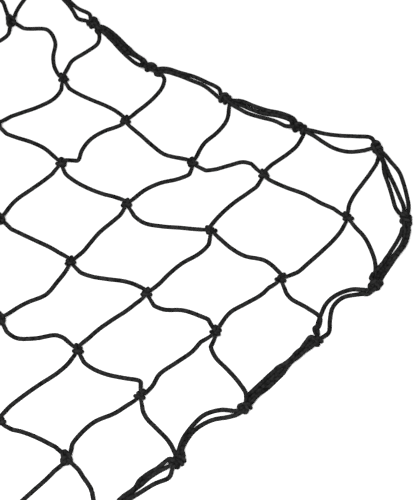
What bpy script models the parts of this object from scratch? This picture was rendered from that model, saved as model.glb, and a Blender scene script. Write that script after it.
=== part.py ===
"""Knotted cargo net of black elastic cord, lying slack on a flat surface.

One mesh cord runs to and fro across the net in zigzag rows, and is knotted to
the row before at every mesh. It is knotted at the edges too, about a border
cord that goes round the net twice, and runs along it to start its next row.

Plan directions: the mesh lines are counted from the corner at +X, +Y. Knot
(a, b) is the a-th towards -X and the b-th towards -Y. The border has a or b
one before the first line, or one past the last.
"""

import math
from collections import namedtuple

import bmesh
import bpy
from mathutils import Vector

MM = 0.001

# Driving dimensions, in millimetres.
CORD = 4.0              # thickness of every cord
LINES = 7               # mesh lines each way, so eight meshes
PITCH = 93.5            # how far apart the lines lie; the slack meshes measure about 100 along the cord
GAP = 0.5               # running clearance round the border cord in its knots
GRID_X = 3.0            # where the middle of the even grid lies: the uneven lie
GRID_Y = -19.0          # then has the middle of its box at the origin

# Sizes that follow from the cord.
CORD_R = CORD / 2
SECTION_R = 1.05 * CORD_R       # circumradius of the five-sided section, for the round cord's area
LEG_Z = SECTION_R * math.cos(math.pi / 5)   # height of a cord's middle when its flat lies on the floor
KNOT_R = 1.6 * CORD             # half the width of a mesh knot
KNOT_TOP = 2.3 * CORD
KNOT_REACH = 2.1 * CORD         # where a leg has its own thickness again
BORDER_Z = 1.25 * CORD          # the border cords ride over one turn of each border knot
TRACK = 0.56 * CORD             # each border cord's distance from the middle of the border knot
RUN_TRACK = 1.95 * CORD         # the mesh cord's distance, on the inner side
KNOT_HALF = 1.4 * CORD          # half the length of a border knot along the border
MOUTH = 1.15 * KNOT_HALF        # the border's cords run straight as far as this
INNER_WALL = 2.5 * CORD         # from the middle of a border knot to its inner side
OUTER_WALL = 2.0 * CORD
BORDER_TOP = 2.8 * CORD
RUN_Z = 0.8 * CORD              # a mesh cord's height where it enters a border knot
RUN_SINK = 0.77 * CORD          # how much further than the mouth it goes in
TUNNEL_HALF = TRACK + CORD_R + GAP + 0.12 * CORD    # half the width of the way through a border knot
TUNNEL_RISE = CORD_R + GAP      # and half its height
BORDER_REACH = 6.0 * CORD       # where a leg to a border knot has come down to the floor

# A mesh knot's ridges: how far out its points lie and how high, as shares of KNOT_R and KNOT_TOP.
Ridge = namedtuple("Ridge", "out up")
SIDE_RIDGE = Ridge(1.0, 0.42)   # between two legs
FOOT = Ridge(0.72, 0.0)         # under it, on the floor
CROWN = Ridge(0.5, 1.0)         # the turn that goes over the top
LEG_TOP = Ridge(0.72, 0.72)     # above each leg's mouth
DIP = Ridge(0.0, 0.84)          # in the middle, between the turns
WIDE_TURN = 1.12                # the knot is longer one way than the other
NARROW_TURN = 0.92
LOW_TURN = 0.9                  # and one of its turns is lower

# A border knot's ridges: how far along it each loop of its shell lies, as a share
# of KNOT_HALF, and how large it is beside the largest.
Wrap = namedtuple("Wrap", "along size")
WRAPS = [Wrap(-1.0, 0.9), Wrap(-0.5, 1.0), Wrap(0.0, 0.86), Wrap(0.5, 1.0), Wrap(1.0, 0.9)]
FLAT_SHARE = 0.62               # how much of a loop's width is its flat top

# A leg's end at the border, inside the knot's wall and just off it: how far in
# from the middle of the knot, and how much higher than where it lies on the floor.
LegEnd = namedtuple("LegEnd", "inwards lift")
LEG_ENDS = [LegEnd(0.68 * INNER_WALL, 0.2 * CORD), LegEnd(1.25 * INNER_WALL, 0.1 * CORD)]

# How the corner at +X, +Y lies, in millimetres. x and y are a knot's shift from
# the even grid. Each leg bows sideways by the given amounts at one and two
# thirds of its length, seen along the leg: plus is left.
Lie = namedtuple("Lie", "a b  x y  across_1 across_2  down_1 down_2")
CORNER_LIES = [
    Lie(-1, -1, -57, -38, 0, 0, 0, 0),
    Lie(0, -1, -44, 23, 0, 0, 3, -3),
    Lie(1, -1, -30, -2, 0, 0, 9, 4),
    Lie(2, -1, -23, -17, 0, 0, 11, 3),
    Lie(3, -1, -22, -30, 0, 0, 22, 13),
    Lie(4, -1, -22, -16, 0, 0, 17, 3),
    Lie(5, -1, -18, 8, 0, 0, -6, -8),
    Lie(-1, 0, -25, -37, -10, -9, 0, 0),
    Lie(0, 0, -9, 21, -2, 1, 8, 7),
    Lie(1, 0, -17, 14, -11, 5, 3, -3),
    Lie(2, 0, 13, -17, 10, 8, 8, -3),
    Lie(3, 0, 13, -13, 0, 6, -5, 3),
    Lie(4, 0, 13, -8, -13, -24, 16, 7),
    Lie(5, 0, 3, 23, 6, -4, 6, 3),
    Lie(-1, 1, -23, -34, -9, 0, 0, 0),
    Lie(0, 1, -3, 8, -5, 3, -2, -6),
    Lie(1, 1, -5, 13, 9, 16, 9, 2),
    Lie(2, 1, 3, -11, 5, 11, 1, 1),
    Lie(3, 1, 6, -10, -5, 1, 2, -3),
    Lie(4, 1, 12, -10, 5, -5, 8, -4),
    Lie(-1, 2, -21, -47, -4, 7, 0, 0),
    Lie(0, 2, -7, 7, -8, 5, -1, -2),
    Lie(1, 2, 5, 4, -2, 8, 1, -2),
    Lie(2, 2, 15, -11, -1, 3, 9, 6),
    Lie(3, 2, 17, -13, 6, -3, 4, 6),
    Lie(-1, 3, -25, -42, -4, 3, 0, 0),
    Lie(0, 3, -8, -4, -6, 7, -5, -11),
    Lie(1, 3, 3, 2, -3, 14, 4, -1),
    Lie(2, 3, 17, -15, 4, -5, 3, 5),
    Lie(-1, 4, -25, -37, 8, 4, 0, 0),
    Lie(0, 4, -8, -8, -5, -1, -7, -4),
    Lie(1, 4, 9, -14, 5, -3, 4, 6),
]

# How the cords between two border knots lie there, in millimetres outwards from
# the straight line between the knots, at one and two thirds of the way round
# anticlockwise. Spans are counted from the corner at +X, +Y; run is the mesh
# cord, which goes along about every other span.
Span = namedtuple("Span", "number  outer_1 outer_2  inner_1 inner_2  run_1 run_2")
CORNER_SPANS = [
    Span(0, 11, 13, 4, 2, -3, -3),
    Span(1, 13, 4, -12, -9, 0, 0),
    Span(2, 12, 7, 7, 1, -2, -6),
    Span(3, 13, 12, 7, 6, 0, 0),
    Span(4, 4, 7, -1, 2, -6, -3),
    Span(5, 2, 3, -5, -2, 0, 0),
    Span(27, 1, 0, -4, -7, -9, -12),
    Span(28, -11, -10, -17, -20, 0, 0),
    Span(29, 2, 1, -3, -4, -8, -9),
    Span(30, -6, -13, -17, -21, 0, 0),
    Span(31, 8, 11, 2, 5, -3, 0),
]
SIDE = LINES + 1                # spans along one side of the net
SPANS = 4 * SIDE
RUNS = [*range(0, SIDE, 2), *range(SIDE + 2, 2 * SIDE, 2),      # the mesh cord turns round along these
        *range(2 * SIDE + 1, 3 * SIDE - 1, 2), *range(3 * SIDE + 1, SPANS, 2)]
SWAP_SPAN = 2 * SIDE            # the two turns of the border cord change places here
SWAP_LIFT = 1.3 * CORD          # and the one that passes over is this much higher

# The plain lie of the rest of the net.
FAR_X = 23                      # the border lies this much closer to the first mesh line
FAR_Y = 24                      # than a whole pitch
WANDER = 9                      # how uneven the knots are
BOW = 8                         # and the legs
SWAY = 3                        # and the border's cords
OUTER_LIE = 5
INNER_LIE = -1.5
RUN_LIE = -7.5

HALF_GRID = (LINES - 1) / 2
COURSE_STEPS = 60               # short steps along a leg, to measure it by
SLIGHT_BOW = 7                  # up to here a leg takes three rings of points,
DEEP_BOW = 15                   # and up to here four


def far_lie(a, b):
    """The plain, uneven lie of a knot past the corner."""
    edge_x = FAR_X * ((a == LINES) - (a == -1))
    edge_y = FAR_Y * ((b == LINES) - (b == -1))
    wander = math.sin(2.3 * a + 1.1 * b)
    swing = math.cos(1.3 * a - 2.1 * b)
    return Lie(a, b, edge_x + WANDER * wander, edge_y + WANDER * swing,
               BOW * swing, -BOW * wander, BOW * wander, BOW * swing)


LIES = {(lie.a, lie.b): lie for lie in CORNER_LIES}


def lie_of(a, b):
    return LIES.get((a, b)) or far_lie(a, b)


def place(a, b):
    """Where the middle of a knot lies, in plan."""
    lie = lie_of(a, b)
    return Vector((GRID_X + (HALF_GRID - a) * PITCH + lie.x, GRID_Y + (HALF_GRID - b) * PITCH + lie.y))


def left_of(direction):
    return Vector((-direction.y, direction.x))


def bowed(start, end, bow_1, bow_2, share):
    """A point on a leg: the cubic with no bow at its ends and both given bows on its way."""
    lean = 4.5 * (2 * bow_1 - bow_2) + 13.5 * (bow_2 - bow_1) * share
    way = (end - start).normalized()
    return start.lerp(end, share) + left_of(way) * (share * (1 - share) * lean)


def distances(points):
    """How far along a line of points each one is."""
    total = [0.0]
    for before, after in zip(points, points[1:]):
        total.append(total[-1] + (after - before).length)
    return total


def point_at(points, total, distance):
    """The point a given distance along a line of points."""
    for index in range(1, len(points)):
        if total[index] >= distance:
            share = (distance - total[index - 1]) / (total[index] - total[index - 1])
            return points[index - 1].lerp(points[index], share)
    return points[-1].copy()


def spline(points, directions, steps):
    """Points on a smooth curve through the given ones; a direction of None is worked out."""
    slopes = []
    for index, given in enumerate(directions):
        before = points[max(index - 1, 0)]
        after = points[min(index + 1, len(points) - 1)]
        slopes.append(given if given else (after - before).normalized())
    curve = []
    for index, count in enumerate(steps):
        start, end = points[index], points[index + 1]
        pull = (end - start).length
        for step in range(count):
            u = step / count
            curve.append((2 * u**3 - 3 * u**2 + 1) * start + (u**3 - 2 * u**2 + u) * pull * slopes[index]
                         + (3 * u**2 - 2 * u**3) * end + (u**3 - u**2) * pull * slopes[index + 1])
    curve.append(points[-1])
    return curve


# The border: its knots in order round the net, and the frame of each.

def border_order():
    """Border knots anticlockwise from the corner at +X, +Y."""
    count = LINES + 1
    top = [(a, -1) for a in range(-1, LINES)]
    left = [(LINES, b) for b in range(-1, LINES)]
    bottom = [(LINES - step, LINES) for step in range(count)]
    right = [(-1, LINES - step) for step in range(count)]
    return top + left + bottom + right


BORDER = border_order()


def border_frame(index):
    """A border knot's middle, the direction of the border through it, and the outward direction."""
    middle = place(*BORDER[index % SPANS])
    along = (place(*BORDER[(index + 1) % SPANS]) - place(*BORDER[(index - 1) % SPANS])).normalized()
    return middle, along, -left_of(along)


def span_of(number):
    for span in CORNER_SPANS:
        if span.number == number:
            return span
    sway = SWAY * math.sin(1.7 * number)
    swell = SWAY * math.cos(2.3 * number)
    return Span(number, OUTER_LIE + sway, OUTER_LIE + swell, INNER_LIE + sway, INNER_LIE + swell,
                RUN_LIE + sway, RUN_LIE + swell)


def has_knot(index):
    """No mesh cord comes to the other three corners, so they have no knot."""
    return index % SPANS == 0 or index % SIDE > 0


def strand(number, track, next_track, bows, low_z, end_z):
    """The route of one cord along a border span, from the mouth of one knot to the next."""
    start, start_way, start_out = border_frame(number)
    end, end_way, end_out = border_frame(number + 1)
    way = (end - start).normalized()
    outward = -left_of(way)
    points = [
        (start + start_out * track + start_way * MOUTH).to_3d(),
        (start.lerp(end, 1 / 3) + outward * bows[0]).to_3d(),
        (start.lerp(end, 2 / 3) + outward * bows[1]).to_3d(),
        (end + end_out * next_track - end_way * MOUTH).to_3d(),
    ]
    heights = (end_z if has_knot(number) else CORD_R, *low_z, end_z if has_knot(number + 1) else CORD_R)
    for point, height in zip(points, heights):
        point.z = height
    return spline(points, [start_way.to_3d(), None, None, end_way.to_3d()], (2, 1, 2))


# The meshes: each leg's course in plan, and the rings of points that make it.

def leg_course(kind, a, b):
    """Close points along the middle of a leg, from knot (a, b) to the next across or down."""
    lie = lie_of(a, b)
    across = kind == "across"
    start, end = place(a, b), place(a + 1, b) if across else place(a, b + 1)
    bows = (lie.across_1, lie.across_2) if across else (lie.down_1, lie.down_2)
    return [bowed(start, end, *bows, step / COURSE_STEPS) for step in range(COURSE_STEPS + 1)]


def leg_rings(kind, a, b):
    """Centres of a leg's rings, between the knots at its two ends."""
    course = leg_course(kind, a, b)
    total = distances(course)
    lie = lie_of(a, b)
    bow = max(abs(value) for value in (lie[4:6] if kind == "across" else lie[6:8]))
    next_knot = (a + 1, b) if kind == "across" else (a, b + 1)
    centres = []
    reach = []
    for knot in ((a, b), next_knot):
        reach.append(BORDER_REACH if knot in BORDER else KNOT_REACH)
    count = 3 if bow < SLIGHT_BOW else 4 if bow < DEEP_BOW else 5
    for step in range(count):
        distance = reach[0] + (total[-1] - reach[0] - reach[1]) * step / (count - 1)
        point = point_at(course, total, distance).to_3d()
        point.z = LEG_Z
        centres.append(point)
    for knot, at_start in (((a, b), True), (next_knot, False)):
        if knot in BORDER:
            middle, _, outward = border_frame(BORDER.index(knot))
            tail = [Vector((*(middle - outward * leg_end.inwards), LEG_Z + leg_end.lift))
                    for leg_end in LEG_ENDS]
            centres = tail + centres if at_start else centres + tail[::-1]
    return centres


def add_ring(bm, centre, way):
    """Five points round a cord, its flat side down: top, left, lower left, lower right, right."""
    side = left_of(way.to_2d().normalized()).to_3d()
    ring = []
    for corner in range(5):
        angle = math.pi / 2 + corner * 2 * math.pi / 5
        offset = side * (-math.cos(angle)) + Vector((0, 0, math.sin(angle)))
        ring.append(bm.verts.new((centre + offset * SECTION_R) * MM))
    return ring


def add_band(bm, ring, next_ring):
    for corner in range(5):
        after = (corner + 1) % 5
        bm.faces.new((ring[corner], next_ring[corner], next_ring[after], ring[after]))


def mouth_angles(a, b):
    """The directions in which the four legs leave a mesh knot, anticlockwise from +X."""
    angles = []
    legs = [("across", a - 1, b, False), ("down", a, b - 1, False), ("across", a, b, True), ("down", a, b, True)]
    for kind, from_a, from_b, at_start in legs:
        course = leg_course(kind, from_a, from_b)
        if not at_start:
            course = course[::-1]
        way = point_at(course, distances(course), KNOT_REACH) - course[0]
        nominal = len(angles) * math.pi / 2
        turn = math.atan2(way.y, way.x) - nominal
        angles.append(nominal + math.atan2(math.sin(turn), math.cos(turn)))
    return angles


def add_knot(bm, a, b):
    """A ridged mesh knot with a mouth for each of its legs; the mouths share its corners."""
    middle = place(a, b)
    angles = mouth_angles(a, b)
    longer = (a + b) % 2

    def point(angle, ridge, wide=1.0, high=1.0):
        out = Vector((math.cos(angle), math.sin(angle))) * (KNOT_R * ridge.out * wide)
        return bm.verts.new(Vector((*(middle + out), KNOT_TOP * ridge.up * high)) * MM)

    sides, feet, crown = [], [], []
    for leg, angle in enumerate(angles):
        next_angle = angles[(leg + 1) % 4] + (2 * math.pi if leg == 3 else 0)
        corner = (angle + next_angle) / 2
        wide = WIDE_TURN if leg % 2 == longer else NARROW_TURN
        sides.append(point(corner, SIDE_RIDGE, wide))
        feet.append(point(corner, FOOT, wide))
        crown.append(point(corner, CROWN, wide, 1.0 if leg % 2 else LOW_TURN))
    tops = [point(angle, LEG_TOP) for angle in angles]
    dip = point(0, DIP)
    for leg in range(4):
        after = (leg + 1) % 4
        bm.faces.new((tops[leg], sides[leg], crown[leg]))
        bm.faces.new((sides[leg], tops[after], crown[leg]))
        bm.faces.new((crown[leg], tops[after], crown[after]))
        bm.faces.new((crown[leg], crown[after], dip))
    bm.faces.new(feet[::-1])
    # Each mouth in the order of a ring, looking outwards along the leg.
    return [[tops[leg], sides[leg], feet[leg], feet[leg - 1], sides[leg - 1]] for leg in range(4)]


def flipped(ring):
    """A ring seen from the other end of the leg."""
    return [ring[0], ring[4], ring[3], ring[2], ring[1]]


def add_leg(bm, kind, a, b, mouths):
    centres = leg_rings(kind, a, b)
    rings = []
    for index, centre in enumerate(centres):
        before = centres[max(index - 1, 0)]
        after = centres[min(index + 1, len(centres) - 1)]
        rings.append(add_ring(bm, centre, after - before))
    next_knot = (a + 1, b) if kind == "across" else (a, b + 1)
    leaving, arriving = (2, 0) if kind == "across" else (3, 1)
    if (a, b) in mouths:
        rings.insert(0, mouths[(a, b)][leaving])
    else:
        bm.faces.new(rings[0])
    if next_knot in mouths:
        rings.append(flipped(mouths[next_knot][arriving]))
    else:
        bm.faces.new(rings[-1][::-1])
    for ring, next_ring in zip(rings, rings[1:]):
        add_band(bm, ring, next_ring)


def add_meshes(bm):
    mouths = {(a, b): add_knot(bm, a, b) for a in range(LINES) for b in range(LINES)}
    for line in range(LINES):
        for step in range(-1, LINES):
            add_leg(bm, "across", step, line, mouths)
            add_leg(bm, "down", line, step, mouths)


# A border knot: two ridged wraps round a tunnel for the two border cords.

def loop_points(centre, outward, half_in, half_out, low, high):
    """Six points round the border cords, in the plane across them."""
    flat_in, flat_out = half_in * FLAT_SHARE, half_out * FLAT_SHARE
    corners = [(-half_in, BORDER_Z), (-flat_in, low), (flat_out, low),
               (half_out, BORDER_Z), (flat_out, high), (-flat_in, high)]
    return [Vector((*(centre + outward * side), height)) * MM for side, height in corners]


def add_border_knot(bm, index):
    middle, along, outward = border_frame(index)
    shell = []
    for wrap in WRAPS:
        centre = middle + along * (wrap.along * KNOT_HALF)
        shell.append(loop_points(centre, outward, INNER_WALL * wrap.size, OUTER_WALL * wrap.size,
                                 0, BORDER_TOP * wrap.size))
    tunnel = []
    for end in (-KNOT_HALF, KNOT_HALF):
        tunnel.append(loop_points(middle + along * end, outward, TUNNEL_HALF, TUNNEL_HALF,
                                  BORDER_Z - TUNNEL_RISE, BORDER_Z + TUNNEL_RISE))
    loops = [tunnel[0]] + shell + [tunnel[1]]
    rings = [[bm.verts.new(point) for point in loop] for loop in loops]
    for ring, next_ring in zip(rings, rings[1:] + rings[:1]):
        for corner in range(6):
            after = (corner + 1) % 6
            bm.faces.new((ring[corner], next_ring[corner], next_ring[after], ring[after]))


def add_border_knots(bm):
    for index in range(SPANS):
        if has_knot(index):
            add_border_knot(bm, index)


# Objects.

def fresh_collections():
    for old in list(bpy.data.objects):
        bpy.data.objects.remove(old, do_unlink=True)
    made = []
    for name in ("cargo_net", "joining_pieces"):
        collection = bpy.data.collections.new(name)
        bpy.context.scene.collection.children.link(collection)
        made.append(collection)
    return made


def cord_material(name, grey):
    material = bpy.data.materials.new(name)
    material.use_nodes = True
    shader = material.node_tree.nodes["Principled BSDF"]
    shader.inputs["Base Color"].default_value = (grey, grey, grey, 1)
    shader.inputs["Roughness"].default_value = 0.75
    shader.inputs["Metallic"].default_value = 0
    material.diffuse_color = (grey, grey, grey, 1)
    return material


def mesh_object(name, collection, fill):
    """A mesh object from a function that fills a bmesh."""
    bm = bmesh.new()
    fill(bm)
    bmesh.ops.recalc_face_normals(bm, faces=bm.faces)
    mesh = bpy.data.meshes.new(name)
    bm.to_mesh(mesh)
    bm.free()
    made = bpy.data.objects.new(name, mesh)
    collection.objects.link(made)
    return made


def cord_curve(name, collection, routes, closed):
    """Round cord along each route: a curve with a bevel, six-sided, with a flat side down."""
    curve = bpy.data.curves.new(name, "CURVE")
    curve.dimensions = "3D"
    curve.twist_mode = "Z_UP"
    curve.bevel_depth = CORD_R * MM
    curve.bevel_resolution = 1
    curve.use_fill_caps = True
    for route in routes:
        line = curve.splines.new("POLY")
        line.points.add(len(route) - 1)
        line.use_cyclic_u = closed
        for target, point in zip(line.points, route):
            target.co = (*(point * MM), 1)
    made = bpy.data.objects.new(name, curve)
    collection.objects.link(made)
    return made


def as_mesh(curve_object, collection):
    """The curve as a mesh object with its caps welded, for joining."""
    evaluated = curve_object.evaluated_get(bpy.context.evaluated_depsgraph_get())
    mesh = bpy.data.meshes.new_from_object(evaluated)
    bm = bmesh.new()
    bm.from_mesh(mesh)
    bmesh.ops.remove_doubles(bm, verts=bm.verts, dist=0.00001)
    bmesh.ops.recalc_face_normals(bm, faces=bm.faces)
    bm.to_mesh(mesh)
    bm.free()
    made = bpy.data.objects.new(curve_object.name + "_joined", mesh)
    made.matrix_world = curve_object.matrix_world
    collection.objects.link(made)
    bpy.data.objects.remove(curve_object, do_unlink=True)
    return made


def join_with(target, piece):
    """Fuse a helper piece to an object, and keep the helper as a hidden guide."""
    joint = target.modifiers.new("with_" + piece.name, "BOOLEAN")
    joint.operation = "UNION"
    joint.solver = "EXACT"
    joint.object = piece
    piece.hide_render = True
    piece.display_type = "WIRE"


def make_mesh_cord(parts, helpers):
    net = mesh_object("mesh_cord", parts, add_meshes)
    wraps = mesh_object("border_wraps", helpers, add_border_knots)
    routes = []
    for number in RUNS:
        span = span_of(number)
        route = strand(number, -RUN_TRACK, -RUN_TRACK, (span.run_1, span.run_2), (CORD_R, CORD_R), RUN_Z)
        first_way = border_frame(number)[1].to_3d()
        last_way = border_frame(number + 1)[1].to_3d()
        routes.append([route[0] - first_way * RUN_SINK] + route + [route[-1] + last_way * RUN_SINK])
    bpy.context.view_layer.update()
    runs = as_mesh(cord_curve("border_runs", helpers, routes, False), helpers)
    join_with(net, wraps)
    join_with(net, runs)
    net.data.materials.append(cord_material("mesh_cord_black", 0.028))
    return net


def make_border_cord(parts):
    """One cord, twice round: the inner turn first, then the outer, changing places in one span."""
    route = []
    for turn, track in (("inner", -TRACK), ("outer", TRACK)):
        for step in range(SPANS):
            number = (SWAP_SPAN + 1 + step) % SPANS
            span = span_of(number)
            inner = (span.inner_1, span.inner_2)
            outer = (span.outer_1, span.outer_2)
            bows = inner if turn == "inner" else outer
            next_track, heights = track, (CORD_R, CORD_R)
            if number == SWAP_SPAN:
                next_track = -track
                bows = (inner[0], outer[1]) if turn == "inner" else (outer[0], inner[1])
                lift = SWAP_LIFT if turn == "inner" else 0
                heights = (CORD_R + lift, CORD_R + lift)
            route += strand(number, track, next_track, bows, heights, BORDER_Z)
    made = cord_curve("border_cord", parts, [route], True)
    made.data.materials.append(cord_material("border_cord_black", 0.026))
    return made


parts, helpers = fresh_collections()
make_mesh_cord(parts, helpers)
make_border_cord(parts)
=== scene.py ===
"""Looks of the cargo net: each cord is a round braided cord, tied in its real knots."""

import math
from collections import namedtuple

import bmesh
import bpy
import numpy as np
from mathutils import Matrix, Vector


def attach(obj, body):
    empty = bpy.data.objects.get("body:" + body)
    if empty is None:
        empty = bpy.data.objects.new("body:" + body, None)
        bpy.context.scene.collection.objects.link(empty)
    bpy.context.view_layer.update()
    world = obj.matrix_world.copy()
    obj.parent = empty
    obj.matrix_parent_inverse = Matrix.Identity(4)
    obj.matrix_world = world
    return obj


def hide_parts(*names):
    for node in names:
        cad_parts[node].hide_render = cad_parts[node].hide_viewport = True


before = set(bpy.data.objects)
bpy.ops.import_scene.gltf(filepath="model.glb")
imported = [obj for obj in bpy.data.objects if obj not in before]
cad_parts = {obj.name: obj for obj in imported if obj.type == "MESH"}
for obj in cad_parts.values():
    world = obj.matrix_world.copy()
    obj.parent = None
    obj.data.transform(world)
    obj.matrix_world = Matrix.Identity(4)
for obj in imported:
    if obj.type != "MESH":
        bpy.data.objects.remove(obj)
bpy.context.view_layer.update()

# ---------------------------------------------------------------- border cord
# One length of elastic cord, a rubber core in a braided black sleeve, that goes
# twice round the net. It is slack, so its two turns part and close up again
# between the knots that hold them together.

MM = 0.001                      # lengths here are in millimetres, and Blender's in metres
CORD = 4.0
CORD_R = CORD / 2
LINES = 7                       # mesh knots in a line each way
PITCH = 93.5                    # from line to line, as the slack net lies
GRID_X = 3.0                    # the middle of the even grid of knots
GRID_Y = -19.0
SIDE = LINES + 1                # spans of the border on each side
SPANS = 4 * SIDE
HALF_GRID = (LINES - 1) / 2

# Where the knots of the corner at +X, +Y lie, in millimetres beside the even
# grid. These are the source's own places. On the border a or b is -1 or LINES.
Lie = namedtuple("Lie", "a b x y")
CORNER_LIES = [
    Lie(-1, -1, -57, -38), Lie(0, -1, -44, 23), Lie(1, -1, -30, -2), Lie(2, -1, -23, -17),
    Lie(3, -1, -22, -30), Lie(4, -1, -22, -16), Lie(5, -1, -18, 8),
    Lie(-1, 0, -25, -37), Lie(0, 0, -9, 21), Lie(1, 0, -17, 14), Lie(2, 0, 13, -17),
    Lie(3, 0, 13, -13), Lie(4, 0, 13, -8), Lie(5, 0, 3, 23),
    Lie(-1, 1, -23, -34), Lie(0, 1, -3, 8), Lie(1, 1, -5, 13), Lie(2, 1, 3, -11),
    Lie(3, 1, 6, -10), Lie(4, 1, 12, -10),
    Lie(-1, 2, -21, -47), Lie(0, 2, -7, 7), Lie(1, 2, 5, 4), Lie(2, 2, 15, -11), Lie(3, 2, 17, -13),
    Lie(-1, 3, -25, -42), Lie(0, 3, -8, -4), Lie(1, 3, 3, 2), Lie(2, 3, 17, -15),
    Lie(-1, 4, -25, -37), Lie(0, 4, -8, -8), Lie(1, 4, 9, -14),
]
LIES = {(lie.a, lie.b): lie for lie in CORNER_LIES}
FAR_X = 23                      # past the corner the border lies this much closer in
FAR_Y = 24
WANDER = 9                      # and the knots this much off the even grid


def place(a, b):
    """Where the middle of a knot lies, in millimetres, as read at the height of a lying cord."""
    if (a, b) in LIES:
        x, y = LIES[(a, b)].x, LIES[(a, b)].y
    else:
        x = FAR_X * ((a == LINES) - (a == -1)) + WANDER * math.sin(2.3 * a + 1.1 * b)
        y = FAR_Y * ((b == LINES) - (b == -1)) + WANDER * math.cos(1.3 * a - 2.1 * b)
    return np.array([GRID_X + (HALF_GRID - a) * PITCH + x, GRID_Y + (HALF_GRID - b) * PITCH + y, CORD_R])


# The photo was taken from this side and height. A place read from it that is
# higher than a lying cord is nearer to the camera by as much again.
AZIMUTH = math.radians(40.5)
ELEVATION = math.radians(45)
SIGHT = np.array([math.sin(AZIMUTH), -math.cos(AZIMUTH), math.tan(ELEVATION)])


def lifted(point, height):
    return point + SIGHT * (height - CORD_R)


# Border knots in order, anticlockwise from the corner at +X, +Y.
BORDER = ([(a, -1) for a in range(-1, LINES)] + [(LINES, b) for b in range(-1, LINES)]
          + [(LINES - step, LINES) for step in range(SIDE)] + [(-1, LINES - step) for step in range(SIDE)])


def unit(vector):
    return vector / np.linalg.norm(vector)


def left_of(way):
    return np.array([-way[1], way[0], 0.0])


def border_frame(index):
    """A border knot's place, the way of the border through it, and outwards."""
    along = unit(place(*BORDER[(index + 1) % SPANS]) - place(*BORDER[(index - 1) % SPANS]))
    return place(*BORDER[index % SPANS]), along, -left_of(along)


# How the cords lie between two border knots, in millimetres outwards from the
# straight line between them, at these shares of the way round anticlockwise.
# Span 0 starts at the corner at +X, +Y. The run is the mesh cord's, where it
# goes along the border to start its next row.
BORDER_SHARES = (0.17, 0.33, 0.5, 0.67, 0.83)
Strand = namedtuple("Strand", "span cord offsets")
CORNER_STRANDS = [
    Strand(0, "outer", (8, 10.5, 12, 12, 7.5)),
    Strand(0, "inner", (3, 3, 2.5, 1.5, 1)),
    Strand(0, "run", (-5, -4, -3, -2.5, 0)),
    Strand(1, "outer", (15.5, 11.5, 6.5, 3, 2)),
    Strand(1, "inner", (-6, -13.5, -14, -9.5, -4)),
    Strand(2, "outer", (10, 10.5, 7, 6, 6)),
    Strand(2, "inner", (6, 5.5, 1, 0, 0.5)),
    Strand(2, "run", (-4.5, -3, -5.5, -7, -5)),
    Strand(3, "outer", (10.5, 12, 12.5, 10, 8)),
    Strand(3, "inner", (1.5, 6, 6, 5.5, 3)),
    Strand(4, "outer", (2, 1.5, 4, 5.5, 5.5)),
    Strand(4, "inner", (1, -1, -0.5, 2, 2)),
    Strand(4, "run", (-7, -6.5, -4.5, -1.5, -1)),
    Strand(5, "outer", (5.5, 0.5, -0.5, 0, 0.5)),
    Strand(5, "inner", (-8.5, -6, -4, -3, -2)),
    Strand(27, "outer", (-3, -4, -1, 2, 6.5)),
    Strand(27, "inner", (-5.5, -7, -7, -6.5, -4.5)),
    Strand(27, "run", (-8, -9.5, -8.5, -10.5, -8)),
    Strand(28, "outer", (-6.5, -12, -13.5, -10, -1)),
    Strand(28, "inner", (-9, -15.5, -19, -19.5, -12.5)),
    Strand(29, "outer", (0.5, 2.5, 2, -1.5, -0.5)),
    Strand(29, "inner", (-1.5, -1.5, -2, -2.5, -2)),
    Strand(29, "run", (-6, -6, -5.5, -4, -4)),
    Strand(30, "outer", (3.5, -5.5, -13.5, -13.5, -3.5)),
    Strand(30, "inner", (-9.5, -16, -21, -20, -13)),
    Strand(31, "outer", (4, 5.5, 7.5, 10, 8)),
    Strand(31, "inner", (0, 2, 5.5, 7.5, 5)),
    Strand(31, "run", (-4.5, -1, 0.5, 2, 1.5)),
]
STRANDS = {(strand.span, strand.cord): strand.offsets for strand in CORNER_STRANDS}
FAR_OFFSETS = {"outer": 5, "inner": -1.5, "run": -7.5}
SWAY = 3                        # how far a strand past the corner strays from these


def offsets_of(span, cord):
    """A strand's offsets, or past the corner a plain uneven lie."""
    if (span, cord) in STRANDS:
        return STRANDS[(span, cord)]
    start, end = math.sin(1.7 * span), math.cos(2.3 * span)
    return [FAR_OFFSETS[cord] + SWAY * (start * (1 - share) + end * share) for share in BORDER_SHARES]


UNDER = {"inner": (), "outer": ("inner",), "run": ("inner", "outer")}
STACKED = 0.8 * CORD            # strands nearer to each other than this lie one on the other


def heights_of(span, cord):
    """How high a strand's points are: it lies on those that it isn't clear of."""
    heights = np.full(len(BORDER_SHARES), CORD_R)
    for other in UNDER[cord]:
        gaps = np.abs(np.subtract(offsets_of(span, cord), offsets_of(span, other)))
        rise = np.sqrt(np.maximum(CORD**2 - gaps**2, 0))
        heights = np.where(gaps < STACKED, np.maximum(heights, heights_of(span, other) + rise), heights)
    return heights


TRACK = 0.46 * CORD             # each border cord's distance from the middle of its knot
MOUTH = 1.3 * CORD              # the border cords run straight through a knot as far as this
BUNDLE_Z = 1.3 * CORD           # their height there, over the turns below them
SWAP_SPAN = 2 * SIDE            # the two turns change places here
CROSSING_Z = 2 * CORD           # one of them passes over the other at this height
NEAR_KNOT_Z = 0.7 * CORD        # a cord on its way down to the floor


def has_knot(index):
    """No mesh cord comes to the other three corners, so they have no knot."""
    return index % SPANS == 0 or index % SIDE > 0


def line_points(span, offsets):
    """Points beside the straight line between the places of two border knots."""
    start, end = place(*BORDER[span % SPANS]), place(*BORDER[(span + 1) % SPANS])
    outward = -left_of(unit(end - start))
    return [start + (end - start) * share + outward * offset for share, offset in zip(BORDER_SHARES, offsets)]


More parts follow.
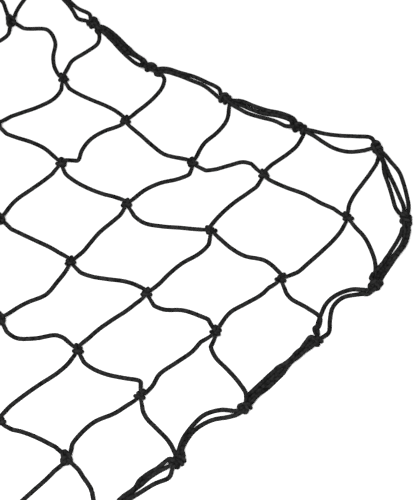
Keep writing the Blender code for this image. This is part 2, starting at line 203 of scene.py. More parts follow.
def strand_points(span, cord, track, next_track):
    """Points on one border cord from the mouth of one knot to the mouth of the next."""
    start, start_way, start_out = border_frame(span)
    end, end_way, end_out = border_frame(span + 1)
    offsets = offsets_of(span, cord)
    if track != next_track:
        # The two turns change places: this one ends where the other would.
        other = offsets_of(span, "outer" if cord == "inner" else "inner")
        offsets = [*offsets[:2], (offsets[2] + other[2]) / 2, *other[3:]]
    points = [start + start_out * track + start_way * MOUTH]
    points += line_points(span, offsets)
    points.append(end + end_out * next_track - end_way * MOUTH)
    heights = [CORD_R, *heights_of(span, cord), CORD_R]
    if has_knot(span):
        heights[0], heights[1] = BUNDLE_Z, max(heights[1], NEAR_KNOT_Z)
    if has_knot(span + 1):
        heights[-1], heights[-2] = BUNDLE_Z, max(heights[-2], NEAR_KNOT_Z)
    if track != next_track and cord == "inner":
        heights[2:5] = [CROSSING_Z] * 3
    return [lifted(point, height) for point, height in zip(points, heights)]


def smooth_route(route, step):
    """Points on a smooth curve through a route, about a step apart, and where the route's own are."""
    route = np.asarray(route, float)
    gaps = np.linalg.norm(np.diff(route[:, :3], axis=0), axis=1)[:, None]
    slopes = np.diff(route, axis=0) / gaps
    tangents = np.vstack([slopes[:1], (slopes[1:] * gaps[:-1] + slopes[:-1] * gaps[1:])
                          / (gaps[1:] + gaps[:-1]), slopes[-1:]])
    curve, marks = [], [0]
    for index, gap in enumerate(gaps[:, 0]):
        count = max(1, round(gap / step))
        u = np.arange(count)[:, None] / count
        # Written out, because a power's last digit can differ from run to run.
        square, cube = u * u, u * u * u
        curve.append((2 * cube - 3 * square + 1) * route[index]
                     + (cube - 2 * square + u) * gap * tangents[index]
                     + (3 * square - 2 * cube) * route[index + 1]
                     + (cube - square) * gap * tangents[index + 1])
        marks.append(marks[-1] + count)
    return np.vstack([*curve, route[-1:]]), marks


ROUNDS_TO_SETTLE = 80
HELD = 3                        # points beside a strand's end that hardly move
TOUCHING = 0.01                 # the least distance to divide by


def settle(strands):
    """Part cords that would lie in each other, on a floor at height 0. Their ends stay."""
    lengths = [len(strand) for strand in strands]
    owner = np.repeat(np.arange(len(strands)), lengths)
    ends = np.cumsum(lengths)
    order = np.arange(ends[-1])
    starts = np.concatenate([[0], ends[:-1]])[owner]
    from_end = np.minimum(order - starts, ends[owner] - 1 - order)
    loose = np.clip((from_end - 1) / HELD, 0, 1)[:, None]
    points = np.vstack(strands)
    others = owner[:, None] != owner[None]
    for _ in range(ROUNDS_TO_SETTLE):
        apart = points[:, None] - points[None]
        distance = np.linalg.norm(apart, axis=2)
        near = others & (distance < CORD)
        push = np.where(near, (CORD - distance) / np.maximum(distance, TOUCHING), 0)[..., None] * apart
        # Each of the two gives way by half, and takes its neighbours along.
        move = push.sum(1) / np.maximum(near.sum(1), 1)[:, None] * 0.5 * loose
        for _ in range(3):
            move[1:-1] = 0.25 * move[:-2] + 0.5 * move[1:-1] + 0.25 * move[2:]
        points += move * loose
        points[:, 2] = np.maximum(points[:, 2], CORD_R)
    return np.split(points, ends[:-1])


# The mesh cord goes along every other span, and along both beside the corner.
RUNS = [*range(0, SIDE, 2), *range(SIDE + 2, 2 * SIDE, 2),
        *range(2 * SIDE + 1, 3 * SIDE - 1, 2), *range(3 * SIDE + 1, SPANS, 2)]
RUN_TRACK = 1.3 * CORD          # a run leaves its knot this far in from the border's middle
REACH = 4.2 * CORD              # a knot's own cords are worked out as far as this
STEP = 1.6                      # and the cords' courses at points this far apart


def outside_knots(course, start, end):
    """The part of a cord's course that is clear of the two knots it goes between."""
    clear = np.ones(len(course), bool)
    for knot in (start, end):
        clear &= np.hypot(course[:, 0] - knot[0], course[:, 1] - knot[1]) > REACH
    kept = np.flatnonzero(clear)
    return course[kept[0]:kept[-1] + 1]


def run_course(span):
    """The mesh cord where it goes along the border, between its two knots."""
    start, start_way, start_out = border_frame(span)
    end, end_way, end_out = border_frame(span + 1)
    points = [start - start_out * RUN_TRACK + start_way * MOUTH, *line_points(span, offsets_of(span, "run")),
              end - end_out * RUN_TRACK - end_way * MOUTH]
    heights = [CORD_R, *heights_of(span, "run"), CORD_R]
    points = [lifted(point, height) for point, height in zip(points, heights)]
    return outside_knots(smooth_route(points, STEP)[0], start, end)


border_route = []
for cord, track in (("inner", -TRACK), ("outer", TRACK)):
    for step in range(SPANS):
        span = (SWAP_SPAN + 1 + step) % SPANS
        border_route += strand_points(span, cord, track, -track if span == SWAP_SPAN else track)
# The two turns are smoothed as the one closed cord that they are, so a few of
# its points are repeated past its ends.
OVER = 3
border_route, marks = smooth_route(border_route[-OVER:] + border_route + border_route[:OVER], STEP)
marks = marks[OVER:-OVER + 1]
POINTS_A_SPAN = len(BORDER_SHARES) + 2
runs = {span: run_course(span) for span in RUNS}
strand_ends = {}                # where in the cord each span of each turn begins and ends
for turn in range(2):
    for step in range(SPANS):
        first = POINTS_A_SPAN * (turn * SPANS + step)
        strand_ends[turn, (SWAP_SPAN + 1 + step) % SPANS] = marks[first], marks[first + POINTS_A_SPAN - 1] + 1
for span in range(SPANS):
    slices = [slice(*strand_ends[turn, span]) for turn in range(2)]
    strands = [border_route[part] for part in slices]
    settled = settle(strands + [runs[span]] if span in RUNS else strands)
    for part, strand in zip(slices, settled):
        border_route[part] = strand
    if span in RUNS:
        runs[span] = settled[2]
border_route = border_route[marks[0]:marks[-1]]

PRESSED = 0.84                  # how thick a cord is where a knot squeezes it,
PRESSED_TO = 1.4 * CORD         # as far as this from the middle of the knot
FULL_FROM = 3 * CORD            # past here it has its full thickness


def thickness(points, middle):
    """How thick a cord is by its distance from the middle of a knot."""
    distance = np.linalg.norm(points - middle, axis=-1)
    return PRESSED + (1 - PRESSED) * np.clip((distance - PRESSED_TO) / (FULL_FROM - PRESSED_TO), 0, 1)


RING_TURN = 0.19                # radians that a cord may bend from one ring of its mesh to the next
STRAIGHT = 0.001                # and a bend per millimetre that counts as none


def ringed(route, finest, coarsest):
    """Choose points on a route, close where it bends and far apart where it is straight."""
    steps = np.diff(route[:, :3], axis=0)
    gaps = np.linalg.norm(steps, axis=1)
    ways = steps / gaps[:, None]
    bend = np.zeros(len(route))
    bend[1:-1] = np.arccos(np.clip((ways[1:] * ways[:-1]).sum(1), -1, 1)) / (gaps[1:] + gaps[:-1]) * 2
    bend = np.convolve(bend, np.ones(5) / 5, "same")
    spacing = np.clip(RING_TURN / np.maximum(bend, STRAIGHT), finest, coarsest)
    count = np.concatenate([[0], np.cumsum(gaps / ((spacing[1:] + spacing[:-1]) / 2))])
    stops = np.linspace(0, count[-1], round(count[-1]) + 1)
    return np.column_stack([np.interp(stops, count, column) for column in route.T])


FULLNESS = 0.1                  # the radius of a slack cord is this much over half its nominal size


def cord_piece(name, route, sides, closed):
    """A cord as a tube along a route of x, y, z and a share of its thickness. Its map has the way
    round it as a share, and the way along it in cord thicknesses."""
    curve = bpy.data.curves.new(name, "CURVE")
    curve.dimensions = "3D"
    curve.twist_mode = "MINIMUM"
    curve.bevel_depth = (CORD_R + FULLNESS) * MM
    curve.bevel_resolution = (sides - 4) // 2
    line = curve.splines.new("POLY")
    line.points.add(len(route) - 1)
    line.use_cyclic_u = closed
    for target, (x, y, z, share) in zip(line.points, route):
        target.co = (x * MM, y * MM, z * MM, 1)
        target.radius = share
    guide = bpy.data.objects.new(name + "_route", curve)
    bpy.context.scene.collection.objects.link(guide)
    bpy.context.view_layer.update()
    mesh = bpy.data.meshes.new_from_object(guide.evaluated_get(bpy.context.evaluated_depsgraph_get()))
    mesh.name = name
    bpy.data.objects.remove(guide, do_unlink=True)

    along = np.concatenate([[0], np.cumsum(np.linalg.norm(np.diff(route[:, :3], axis=0), axis=1))]) / CORD
    bm = bmesh.new()
    bm.from_mesh(mesh)
    bm.verts.ensure_lookup_table()
    cord_map = bm.loops.layers.uv.new("cord_map")
    for face in bm.faces:
        face.smooth = True
        rings = [loop.vert.index // sides for loop in face.loops]
        corners = [loop.vert.index % sides for loop in face.loops]
        for loop, ring, corner in zip(face.loops, rings, corners):
            # The face that closes a ring, or the cord, ends past the last one.
            closes_ring = corner == 0 and max(corners) == sides - 1
            closes_cord = ring == 0 and max(rings) == len(route) - 1
            distance = along[-1] + 1 if closes_cord else along[ring]
            loop[cord_map].uv = ((corner + sides * closes_ring) / sides, distance)
    if not closed:
        bmesh.ops.holes_fill(bm, edges=bm.edges, sides=sides)
    bmesh.ops.recalc_face_normals(bm, faces=bm.faces)
    bm.to_mesh(mesh)
    bm.free()
    piece = bpy.data.objects.new(name, mesh)
    bpy.context.scene.collection.objects.link(piece)
    return piece


class Wire:
    """A socket of a shader, so that maths on its value reads as plain expressions."""

    def __init__(self, shader, socket):
        self.shader = shader
        self.socket = socket

    def maths(self, operation, *values):
        return self.shader.node("ShaderNodeMath", {"operation": operation}, dict(enumerate(values)))

    def __add__(self, other):
        return self.maths("ADD", self, other)

    def __sub__(self, other):
        return self.maths("SUBTRACT", self, other)

    def __rsub__(self, other):
        return self.maths("SUBTRACT", other, self)

    def __mul__(self, other):
        return self.maths("MULTIPLY", self, other)

    __radd__ = __add__
    __rmul__ = __mul__

    def sine(self):
        return self.maths("SINE", self)

    def magnitude(self):
        return self.maths("ABSOLUTE", self)

    def kept_within(self, least, most):
        return self.maths("MAXIMUM", self.maths("MINIMUM", self, most), least)


class Shader:
    """A material whose nodes are added one call at a time."""

    def __init__(self, name):
        self.material = bpy.data.materials.new(name)
        self.material.use_nodes = True
        self.tree = self.material.node_tree
        self.surface = self.tree.nodes["Principled BSDF"]

    def node(self, kind, settings, values, output=0):
        made = self.tree.nodes.new(kind)
        for name, value in settings.items():
            setattr(made, name, value)
        for name, value in values.items():
            self.feed(made.inputs[name], value)
        return Wire(self, made.outputs[output])

    def feed(self, socket, value):
        if isinstance(value, Wire):
            self.tree.links.new(value.socket, socket)
        else:
            socket.default_value = value


# The sleeve: yarns wound both ways round the rubber, over and under each other.
YARNS = 6                       # each way
YARN_PITCH = 2.2                # cord thicknesses for one turn of a yarn
RELIEF = 0.0005                 # how far the yarns stand out, in metres
SLEEVE_GREY = 0.0085            # its middle tone
DARKEST = 0.1                   # shares of that in its grooves, as painted shade, and where it is new
LIGHTEST = 1.8                  # and on its ribs where it is worn; the ribs' lightness over the grooves is painted light
RIB_PAINTED_SHADE = 0.5                  # how much of the tone comes from the ribs as painted shade, dark in the grooves,
FIBRE_TONE = 0.25               # from the fibres
WEAR_TONE = 2.4                 # and from wear
UNWORN = 0.42                   # the part of the wear pattern that stays dark
FIBRE_SCALE = 2600.0            # fibres, and patches of wear, to the metre
WEAR_SCALE = 300.0
FIBRE_RELIEF = 0.3              # as a share of the yarns'
ROUGHNESS = 0.62
WORN_ROUGHNESS = 0.3            # added where it is worn


def braided_sleeve(name):
    """Black polyester braid: fine crossing ribs with painted shade in the grooves between them, dull, a
    little worn to grey in patches.
    """
    shader = Shader(name)
    cord_map = shader.node("ShaderNodeUVMap", {"uv_map": "cord_map"}, {})
    around = shader.node("ShaderNodeSeparateXYZ", {}, {"Vector": cord_map}, "X")
    along = shader.node("ShaderNodeSeparateXYZ", {}, {"Vector": cord_map}, "Y")
    right_hand = (around * YARNS + along * (YARNS / YARN_PITCH)) * math.pi
    left_hand = (around * YARNS - along * (YARNS / YARN_PITCH)) * math.pi
    crossing = (right_hand * 0.5).sine() * (left_hand * 0.5).sine()
    # The yarn on top changes over quickly, halfway between two crossings.
    right_on_top = (crossing * 3 + 0.5).kept_within(0, 1)
    right_rib = right_hand.sine().magnitude()
    left_rib = left_hand.sine().magnitude()
    rib = right_on_top * right_rib + (1 - right_on_top) * left_rib

    at = shader.node("ShaderNodeTexCoord", {}, {}, "Object")
    fibres = shader.node("ShaderNodeTexNoise", {}, {"Vector": at, "Scale": FIBRE_SCALE, "Detail": 2.0}, "Fac")
    wear = shader.node("ShaderNodeTexNoise", {}, {"Vector": at, "Scale": WEAR_SCALE, "Detail": 2.0}, "Fac")
    # Painted shade: the ribs' share of the tone darkens the grooves between the yarns and lightens the rib
    # tops.
    tone = rib * RIB_PAINTED_SHADE + fibres * FIBRE_TONE + (wear - UNWORN) * WEAR_TONE
    dark = [SLEEVE_GREY * DARKEST] * 3 + [1]
    light = [SLEEVE_GREY * LIGHTEST] * 3 + [1]
    tones = {"Factor": tone, "A": dark, "B": light}
    colour = shader.node("ShaderNodeMix", {"data_type": "RGBA"}, tones, "Result")
    height = rib + fibres * FIBRE_RELIEF
    relief = shader.node("ShaderNodeBump", {}, {"Height": height, "Distance": RELIEF, "Strength": 1.0})
    shader.feed(shader.surface.inputs["Base Color"], colour)
    shader.feed(shader.surface.inputs["Roughness"], ROUGHNESS + wear * WORN_ROUGHNESS)
    shader.feed(shader.surface.inputs["Normal"], relief)
    shader.feed(shader.surface.inputs["Specular IOR Level"], 0.0)
    return shader.material


BORDER_RINGS = 1.5, 4           # the least and the most from ring to ring of its mesh
BORDER_SIDES = 14
knot_middles = [lifted(place(*BORDER[index]), BUNDLE_Z) for index in range(SPANS) if has_knot(index)]
thin = np.min([thickness(border_route, middle) for middle in knot_middles], axis=0)
border_rings = ringed(np.column_stack([border_route, thin]), *BORDER_RINGS)[:-1]
border = cord_piece("border_cord_laid", border_rings, BORDER_SIDES, True)
border.data.materials.append(braided_sleeve("border_sleeve"))
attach(border, "root")
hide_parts("border_cord")

# ------------------------------------------------------------------ mesh cord
# One long length of the same cord, in zigzag rows. It is tied to the row before
# with a sheet bend at each mesh, and hitched about the border cords at both ends
# of a row, from where it goes along them to the start of the next.

# How each leg bows between its two knots, in millimetres to the left of the way
# from knot (a, b) to the next, at these shares of the way.
LEG_SHARES = (0.15, 0.3, 0.5, 0.7, 0.85)
Leg = namedtuple("Leg", "kind a b bow_1 bow_2 bow_3 bow_4 bow_5")
CORNER_LEGS = [
    Leg("across", -1, 0, -6, -10, -11, -9, -4), Leg("down", 0, -1, 4, 3, 0, -3, -3),
    Leg("across", -1, 1, -8, -15, -8, 2, 3), Leg("down", 1, -1, 7, 9, 7, 3, 0),
    Leg("across", -1, 2, -7, -5, 1, 8, 8), Leg("down", 2, -1, 8, 11, 8, 1, 0),
    Leg("across", -1, 3, -4, -4, 0, 4, 3), Leg("down", 3, -1, 19, 21, 18, 12, 6),
    Leg("across", -1, 4, 4, 1, -4, -4, -4), Leg("down", 4, -1, 12, 16, 9, 0, 0),
    Leg("down", 5, -1, -3, -5, -5, -4, -2),
    Leg("across", 0, 0, -2, -1, -2, 1, 2), Leg("down", 0, 0, 6, 8, 8, 7, 6),
    Leg("across", 1, 0, -11, -13, -4, 6, 9), Leg("down", 1, 0, 5, 3, -1, -3, -3),
    Leg("across", 2, 0, 5, 11, 10, 7, 5), Leg("down", 2, 0, 10, 8, 0, -3, -2),
    Leg("across", 3, 0, -2, -1, 3, 6, 6), Leg("down", 3, 0, 1, -3, -4, 2, 10),
    Leg("across", 4, 0, -1, -8, -23, -26, -6), Leg("down", 4, 0, 12, 16, 13, 6, 1),
    Leg("across", 5, 0, -14, -27, -25, -12, -4), Leg("down", 5, 0, 13, 13, 8, 3, 1),
    Leg("across", 0, 1, -6, -7, 2, 3, 1), Leg("down", 0, 1, -2, -1, -4, -7, -4),
    Leg("across", 1, 1, 4, 8, 14, 17, 12), Leg("down", 1, 1, 10, 10, 4, 2, 2),
    Leg("across", 2, 1, 0, 5, 9, 10, 8), Leg("down", 2, 1, 3, 2, 0, 1, 2),
    Leg("across", 3, 1, -3, -5, -3, 2, 4), Leg("down", 3, 1, 3, 2, -1, -4, -3),
    Leg("across", 4, 1, 6, 6, 0, -6, -6), Leg("down", 4, 1, 8, 9, 2, -5, -6),
    Leg("across", 0, 2, -9, -8, -4, 7, 8), Leg("down", 0, 2, -2, 0, -2, -4, 1),
    Leg("across", 1, 2, -4, -3, 3, 8, 8), Leg("down", 1, 2, 1, 1, -1, -2, -1),
    Leg("across", 2, 2, -1, -1, 1, 3, 4), Leg("down", 2, 2, 5, 8, 11, 4, 1),
    Leg("across", 3, 2, 6, 7, 2, -4, -5), Leg("down", 3, 2, 2, 4, 6, 6, 4),
    Leg("across", 0, 3, -13, -6, 3, 7, 6), Leg("down", 0, 3, -1, -3, -10, -10, -7),
    Leg("across", 1, 3, -5, -6, 7, 15, 12), Leg("down", 1, 3, 5, 5, 1, -2, -3),
    Leg("across", 2, 3, 5, 5, -1, -6, -6), Leg("down", 2, 3, 1, 3, 4, 5, 3),
    Leg("across", 0, 4, -5, -5, -4, -1, 3), Leg("down", 0, 4, 1, 2, 2, 2, 1),
    Leg("across", 1, 4, 5, 5, 1, -4, -4), Leg("down", 1, 4, 2, 4, 6, 6, 4),
]
LEGS = {(leg.kind, leg.a, leg.b): leg[3:] for leg in CORNER_LEGS}
BOW = 8                         # the most that a leg past the corner bows


def leg_bows(kind, a, b):
    """A leg's bows, or past the corner a plain uneven lie, as in the source."""
    if (kind, a, b) in LEGS:
        return LEGS[(kind, a, b)]
    wander = math.sin(2.3 * a + 1.1 * b)
    swing = math.cos(1.3 * a - 2.1 * b)
    first, second = (swing, -wander) if kind == "across" else (wander, swing)
    bows = []
    for share in LEG_SHARES:
        # A cubic that has the two bows at one and two thirds of the way.
        lean = 4.5 * (2 * first - second) + 13.5 * (second - first) * share
        bows.append(BOW * share * (1 - share) * lean)
    return bows


def leg_course(start_knot, end_knot):
    """The mesh cord between two knots, in whichever order they come."""
    forward = sum(end_knot) > sum(start_knot)
    first, last = (start_knot, end_knot) if forward else (end_knot, start_knot)
    kind = "across" if first[0] != last[0] else "down"
    start, end = place(*first), place(*last)
    side = left_of(unit(end - start))
    bends = [start + (end - start) * share + side * bow
             for share, bow in zip(LEG_SHARES, leg_bows(kind, *first))]
    course = outside_knots(smooth_route([start, *bends, end], STEP)[0], start, end)
    return course if forward else course[::-1]


def even_points(route, spacing):
    """Points at even distances along a smooth curve through a route."""
    fine = smooth_route(route, spacing / 4)[0]
    along = np.concatenate([[0], np.cumsum(np.linalg.norm(np.diff(fine, axis=0), axis=1))])
    stops = np.linspace(0, along[-1], round(along[-1] / spacing) + 1)
    return np.column_stack([np.interp(stops, along, fine[:, axis]) for axis in range(3)])


SQUEEZED = 0.72 * CORD          # how far apart the middles of two cords come in a tight knot
ROUNDS_TO_TIGHTEN = 600
ROUNDS_A_LOOK = 8               # how often it is worked out which points are near each other
PULL = 0.3                      # the share of a bend that a round takes out of a cord,
STIFFNESS = 0.03                # and the share of a change of bend
OWN_LENGTH = 1.35 * SQUEEZED    # a point isn't kept away from its own cord this near along it
LOOK_OUT = 1.5 * SQUEEZED       # points this near each other are watched until the next look


def pulled_tight(turns, tensions, about=None):
    """Draw the cords of a loosely drawn knot tight. Each keeps its two ends, grows shorter as
    stretched elastic does, and can't pass through the floor, itself or the others."""
    turns = [even_points(turn, STEP) for turn in turns]
    lengths = [len(turn) for turn in turns]
    about = np.zeros((0, 3)) if about is None else about
    points = np.vstack([*turns, about])
    count = len(points)
    order = np.arange(count)
    owner = np.repeat(np.arange(len(turns) + 1), [*lengths, len(about)])
    ends = np.cumsum(lengths)
    free = owner < len(turns)
    free[[0, *(ends - 1), *ends[:-1]]] = False
    pull = PULL * np.array([*tensions, 0])[owner][:, None]
    for number in range(ROUNDS_TO_TIGHTEN):
        if number % ROUNDS_A_LOOK == 0:
            spacing = np.linalg.norm(np.diff(points[:ends[-1]], axis=0), axis=1).mean()
            neighbours = np.abs(order[:, None] - order[None]) <= math.ceil(OWN_LENGTH / spacing)
            near = np.linalg.norm(points[:, None] - points[None], axis=2) < LOOK_OUT
            near &= free[:, None] & ~(neighbours & (owner[:, None] == owner[None]))
            one, other = np.nonzero(near)
            # Two loose cords share a push. One that is held leaves it to the other.
            gives = np.where(free[other], 0.7, 1.0)
        bend = np.zeros_like(points)
        bend[1:-1] = points[:-2] + points[2:] - 2 * points[1:-1]
        bend[~free] = 0
        change = np.zeros_like(points)
        change[1:-1] = bend[:-2] + bend[2:] - 2 * bend[1:-1]
        points[free] += (pull * bend - STIFFNESS * change)[free]
        for _ in range(3):
            apart = points[one] - points[other]
            distance = np.linalg.norm(apart, axis=1)
            push = np.maximum(SQUEEZED - distance, 0) / np.maximum(distance, TOUCHING) * gives
            hits = np.maximum(np.bincount(one, push > 0, count), 1)
            for axis in range(3):
                points[:, axis] += np.bincount(one, push * apart[:, axis], count) / hits
            points[free, 2] = np.maximum(points[free, 2], PRESSED * CORD_R)
    return np.split(points[:ends[-1]], ends[:-1])


# The mesh knot, drawn loosely, in cord thicknesses: x to the right and y up in
# its plane, z towards the eye. The older row's cord is the bight, a bend with
# both legs downwards. The new row's cord comes up through it, goes round behind
# both legs and tucks under itself.
BIGHT = [(-1.5, -3.0, 0), (-1.6, -1.8, 0), (-1.4, 0.2, 0), (0, 1.3, 0),
         (1.4, 0.2, 0), (1.6, -1.8, 0), (1.5, -3.0, 0)]
WRAP = [(-1.3, 1.7, -1.2), (-0.3, 0.8, -1.2), (0, 0.1, 0), (0.3, -0.2, 1.4),
        (1.0, -0.7, 2.5), (2.3, -1.5, 2.0), (3.0, -2.2, 0.2), (2.3, -2.5, -1.2), (0, -2.5, -1.4),
        (-2.3, -2.3, -1.2), (-3.0, -2.0, 0.1), (-2.2, -1.7, 1.2), (-1.3, -1.6, 1.3),
        (-0.2, -1.7, 1.2), (0.8, -1.3, 1.25), (1.5, -0.3, 1.2), (2.3, 0.9, 0.6)]
KNOT_SHIFT = {False: (0, -0.25, 0), True: (0, 0.2, 0)}  # front up and back up: where it lies in its plane
KNOT_TILT = 0.7                 # the loose knot leans by this, its lower end towards the eye,
KNOT_MIDDLE = -0.8              # about this height in its plane
LOOSE = 0.9 * CORD              # the scale that it is drawn at
BIGHT_TENSION = 0.2             # the wrap is drawn tighter than the bight
WRAP_TENSION = 1.0
KNOT_Z = 1.15 * CORD            # how high the middle of a mesh knot lies

# How far the turns of a knot lie from its place in the corner, in millimetres.
Shift = namedtuple("Shift", "a b x y")
CORNER_SHIFTS = [
    Shift(-1, -1, -1, -1), Shift(0, -1, -8, 0), Shift(2, -1, -1, -4), Shift(3, -1, 3, -3),
    Shift(4, -1, -1, -1), Shift(-1, 0, -3, 2), Shift(-1, 1, 1, 1), Shift(-1, 2, 1, -2),
    Shift(-1, 3, -2, 3), Shift(1, 0, 0.5, 0.5), Shift(3, 0, 1, -1), Shift(0, 1, -1, 1),
    Shift(1, 1, -1, 1), Shift(2, 1, 0, 1.5), Shift(3, 1, -1, 1), Shift(0, 2, 0, 3),
    Shift(1, 2, 0, 1.5), Shift(0, 3, 0.5, 2.5), Shift(0, 4, 0, 1.5),
]
SHIFTS = {(shift.a, shift.b): np.array([shift.x, shift.y, 0]) for shift in CORNER_SHIFTS}
NO_SHIFT = np.zeros(3)

# Which of the corner's mesh knots lie with their back up, and which are tied
# the other way round, so that each has the outline that it has in the photo.
BACK_UP = {(0, 0), (1, 0), (2, 0), (3, 0), (4, 0), (0, 1), (1, 1), (2, 1), (3, 1), (0, 2), (1, 2), (2, 2),
           (0, 3), (1, 3), (1, 4)}
LEFT_HANDED = {(2, 0), (3, 0), (0, 1), (2, 1), (1, 2), (2, 2), (0, 3)}


def mesh_knot(a, b):
    """The ways of the two cords through a mesh knot, both from left to right."""
    middle = lifted(place(a, b), KNOT_Z) + SHIFTS.get((a, b), NO_SHIFT)
    # Past the corner every third knot has its back up.
    back_up = (a, b) in BACK_UP or ((a, b) not in LIES and (a + 2 * b) % 3 == 0)
    up_left, up_right, down_left, down_right = (
        legs[(a, b), knot][0] for knot in ((a + 1, b), (a, b - 1), (a, b + 1), (a - 1, b)))
    up = unit(sum(unit((end - middle) * (1, 1, 0)) * sign
                  for end, sign in ((up_left, 1), (up_right, 1), (down_left, -1), (down_right, -1))))
    axes = np.array([-left_of(up), up, (0, 0, 1)])
    turns = []
    for shape in (BIGHT, WRAP):
        shape = np.array(shape, float)
        shape[:, 2] -= KNOT_TILT * (shape[:, 1] - KNOT_MIDDLE)
        shape = (shape + KNOT_SHIFT[back_up]) * LOOSE
        # A knot seen from the back, or a mirrored one, runs the other way too.
        if back_up:
            shape = shape[::-1] * (-1, 1, -1)
        if (a, b) in LEFT_HANDED:
            shape = shape[::-1] * (-1, 1, 1)
        turns.append(middle + shape @ axes)
    bight = [down_left, *turns[0], down_right]
    wrap = [up_left, *turns[1], up_right]
    return pulled_tight([bight, wrap], [BIGHT_TENSION, WRAP_TENSION])


# The hitch about the border, drawn loosely in cord thicknesses: x along the
# border, y outwards, z up. The leg comes from the mesh, goes under the border
# cords and back over them two or three times, tucks under its own crossing, and
# leaves along the border.
FIRST_TURN = [(-1.5, -1.2, -1.7), (-1.5, 1.2, -1.7), (-1.5, 2.4, 0), (-1.4, 1.0, 2.0), (-1.2, -1.0, 2.0),
              (-1.0, -2.4, 0)]
LAST_TURNS = [(-0.7, -1.2, -1.7), (-0.6, 1.2, -1.7), (-0.5, 2.4, 0), (-0.1, 1.4, 2.2),
              (0.4, 0.3, 2.9), (0.8, -0.7, 2.7), (1.3, -1.6, 2.0), (1.5, -2.5, 0), (1.5, -1.2, -1.7),
              (1.5, 1.2, -1.7), (1.5, 2.4, 0), (1.1, 1.4, 1.6), (0.4, 0, 1.7), (0.1, -1.4, 1.7),
              (0.1, -2.6, 0.9)]
RUN_END = [(0.7, -3.1, 0.2), (2.2, -2.4, -0.5)]
RUN_START = [(-2.6, -2.4, -0.9)]
LEG_START = [(-1.1, -2.6, -1.2)]
TAIL_END = [(0.5, -3.2, 0), (1.2, -3.8, -0.7), (1.9, -4.0, -0.84)]
HITCH_REACH = 6 * CORD          # the border cords this near to a hitch hold it open
SNUG = 0.7                      # the turns lie this much closer together than drawn
CENTRED = 0.3                   # and two turns are moved by this, so that they lie about the middle
# These border knots have two turns, and the others three.
TWO_TURNS = {(3, -1), (5, -1), (-1, 1), (-1, 2), (-1, 6), (1, LINES), (3, LINES), (5, LINES), (LINES, 1),
             (LINES, 5)}


def hitch(index, onwards, leg_end, run_end, start=LEG_START):
    """The mesh cord's way round the border cords, from its leg to its run, which goes onwards
    anticlockwise or back. A hitch with no run has a short end instead."""
    middle, along, outward = border_frame(index)
    middle = lifted(middle, BUNDLE_Z) + SHIFTS.get(BORDER[index], NO_SHIFT)
    axes = np.array([along if onwards else -along, outward, (0, 0, 1)])
    three = BORDER[index] not in TWO_TURNS
    # A leg that comes from the run's side is taken up on that side.
    side = -1 if start is LEG_START and (leg_end - middle) @ axes[0] > 0 else 1
    loose = np.array(start + (FIRST_TURN if three else []) + LAST_TURNS) * (side * SNUG, 1, 1)
    if not three:
        loose[:, 0] -= side * CENTRED
    loose = np.vstack([loose, TAIL_END if run_end is None else RUN_END])
    turns = [leg_end, *(middle + loose * CORD @ axes)]
    if run_end is not None:
        turns.append(run_end)
    close = np.linalg.norm(border_route - middle, axis=1) < HITCH_REACH
    return pulled_tight([turns], [1], border_route[close])[0]


def row_knots(level):
    """The knots of a zigzag row, from its right-hand end: the row lies between two levels of knots."""
    a, b = (level, -1) if level >= 0 else (-1, -1 - level)
    knots = [(a, b)]
    while len(knots) < 2 or not (a == LINES or b == LINES):
        if a - b == level + 1:
            b += 1
        else:
            a += 1
        knots.append((a, b))
    return knots


legs = {}
for level in range(-LINES, LINES):
    knots = row_knots(level)
    for knot, next_knot in zip(knots, knots[1:]):
        legs[knot, next_knot] = leg_course(knot, next_knot)
        legs[next_knot, knot] = legs[knot, next_knot][::-1]
tied = {(a, b): mesh_knot(a, b) for a in range(LINES) for b in range(LINES)}

cord_route = []


def lay(points, knot=None, height=KNOT_Z):
    """Add a stretch of the mesh cord, with its thickness."""
    thin = np.ones(len(points)) if knot is None else thickness(points, lifted(place(*knot), height))
    cord_route.append(np.column_stack([points, thin]))


SAME_POINT = 0.05               # two points nearer than this are one
MESH_STEP = 0.8                 # the whole cord is smoothed once more at points this far apart
MESH_RINGS = 1.2, 5             # the least and the most from ring to ring of its mesh
MESH_SIDES = 12
last_level = LINES - 1
for level in range(-LINES, LINES):
    rightwards = (level + LINES) % 2 == 0
    way = 1 if rightwards else -1
    knots = row_knots(level)[::-way]
    for number, knot in enumerate(knots):
        if knot not in BORDER:
            part = 1 if knot[0] - knot[1] == level else 0
            lay(tied[knot][part][::way], knot)
        else:
            index = BORDER.index(knot)
            comes_in = number == 0
            bare_end = level == (-LINES if comes_in else last_level)
            if bare_end:
                run_end = None
            elif comes_in:
                run_end = run[-1]
            else:
                run = runs[index if rightwards else (index - 1) % SPANS][::way]
                run_end = run[0]
            leg_end = legs[knot, knots[1 if comes_in else -2]][0]
            loops = hitch(index, rightwards, leg_end, run_end)
            lay(loops[::-1] if comes_in else loops, knot, BUNDLE_Z)
        if number + 1 < len(knots):
            lay(legs[knot, knots[number + 1]])
    if level < last_level:
        lay(run)
    if level == -1:
        # The run meets the corner of the net, and goes on along the next side.
        lay(hitch(0, True, run[-1], runs[0][0], RUN_START), BORDER[0], BUNDLE_Z)
        run = runs[0]
        lay(run)
cord_route = np.vstack(cord_route)
# Two stretches that meet hold the same point, which is kept once.
moved = np.linalg.norm(np.diff(cord_route[:, :3], axis=0), axis=1) > SAME_POINT
cord_route = smooth_route(cord_route[np.concatenate([[True], moved])], MESH_STEP)[0]

mesh_cord = cord_piece("mesh_cord_tied", ringed(cord_route, *MESH_RINGS), MESH_SIDES, False)
mesh_cord.data.materials.append(braided_sleeve("mesh_sleeve"))
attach(mesh_cord, "root")
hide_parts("mesh_cord")

# -------------------------------------------------------- floor, light, camera
# A plain white sheet under the net, one large soft light by the camera and a
# pale surround, as in a product photo.

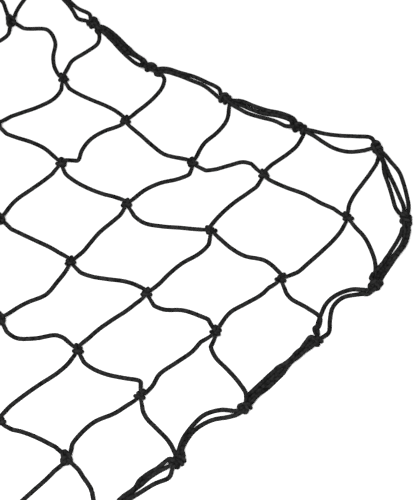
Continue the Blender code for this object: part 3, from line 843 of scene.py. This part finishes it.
PAPER_GREY = 0.55
bpy.ops.mesh.primitive_plane_add(size=12, location=(0, 0, 0))
floor = bpy.context.object
floor.name = "floor"
paper = Shader("white_paper")
paper.feed(paper.surface.inputs["Base Color"], (PAPER_GREY, PAPER_GREY, PAPER_GREY, 1))
paper.feed(paper.surface.inputs["Roughness"], 0.9)
paper.feed(paper.surface.inputs["Specular IOR Level"], 0.1)
floor.data.materials.append(paper.material)

SURROUND_LIGHT = 0.2
surround = bpy.data.worlds.new("surround")
surround.use_nodes = True
backdrop = surround.node_tree.nodes["Background"]
backdrop.inputs["Color"].default_value = (1, 1, 1, 1)
backdrop.inputs["Strength"].default_value = SURROUND_LIGHT
bpy.context.scene.world = surround
bpy.context.scene.view_settings.view_transform = "Standard"

# In metres, apart from the lens and the sensor.
TARGET = Vector((0.1995, 0.1627, -0.0012))
DISTANCE = 2.3133
FOCAL = 172.8
SENSOR = 36                     # along the picture's long side
SOFTBOX_SIZE = 1.4
SOFTBOX_POWER = 310
SOFTBOX_ELEVATION = math.radians(50)
SOFTBOX_DISTANCE = 3.2


def towards(azimuth, elevation):
    """The direction from the net to a place round it."""
    return Vector((math.sin(azimuth) * math.cos(elevation), -math.cos(azimuth) * math.cos(elevation),
                   math.sin(elevation)))


def aimed(thing, place_from, target):
    thing.location = place_from
    thing.rotation_euler = (target - place_from).to_track_quat("-Z", "Y").to_euler()
    bpy.context.scene.collection.objects.link(thing)


camera = bpy.data.objects.new("camera", bpy.data.cameras.new("camera"))
camera.data.lens = FOCAL
camera.data.sensor_width = SENSOR
camera.data.sensor_fit = "AUTO"
aimed(camera, TARGET + towards(AZIMUTH, ELEVATION) * DISTANCE, TARGET)
bpy.context.scene.camera = camera

softbox = bpy.data.lights.new("softbox", "AREA")
softbox.shape = "SQUARE"
softbox.size = SOFTBOX_SIZE
softbox.energy = SOFTBOX_POWER
light = bpy.data.objects.new("softbox", softbox)
aimed(light, towards(AZIMUTH, SOFTBOX_ELEVATION) * SOFTBOX_DISTANCE, Vector((0, 0, 0)))
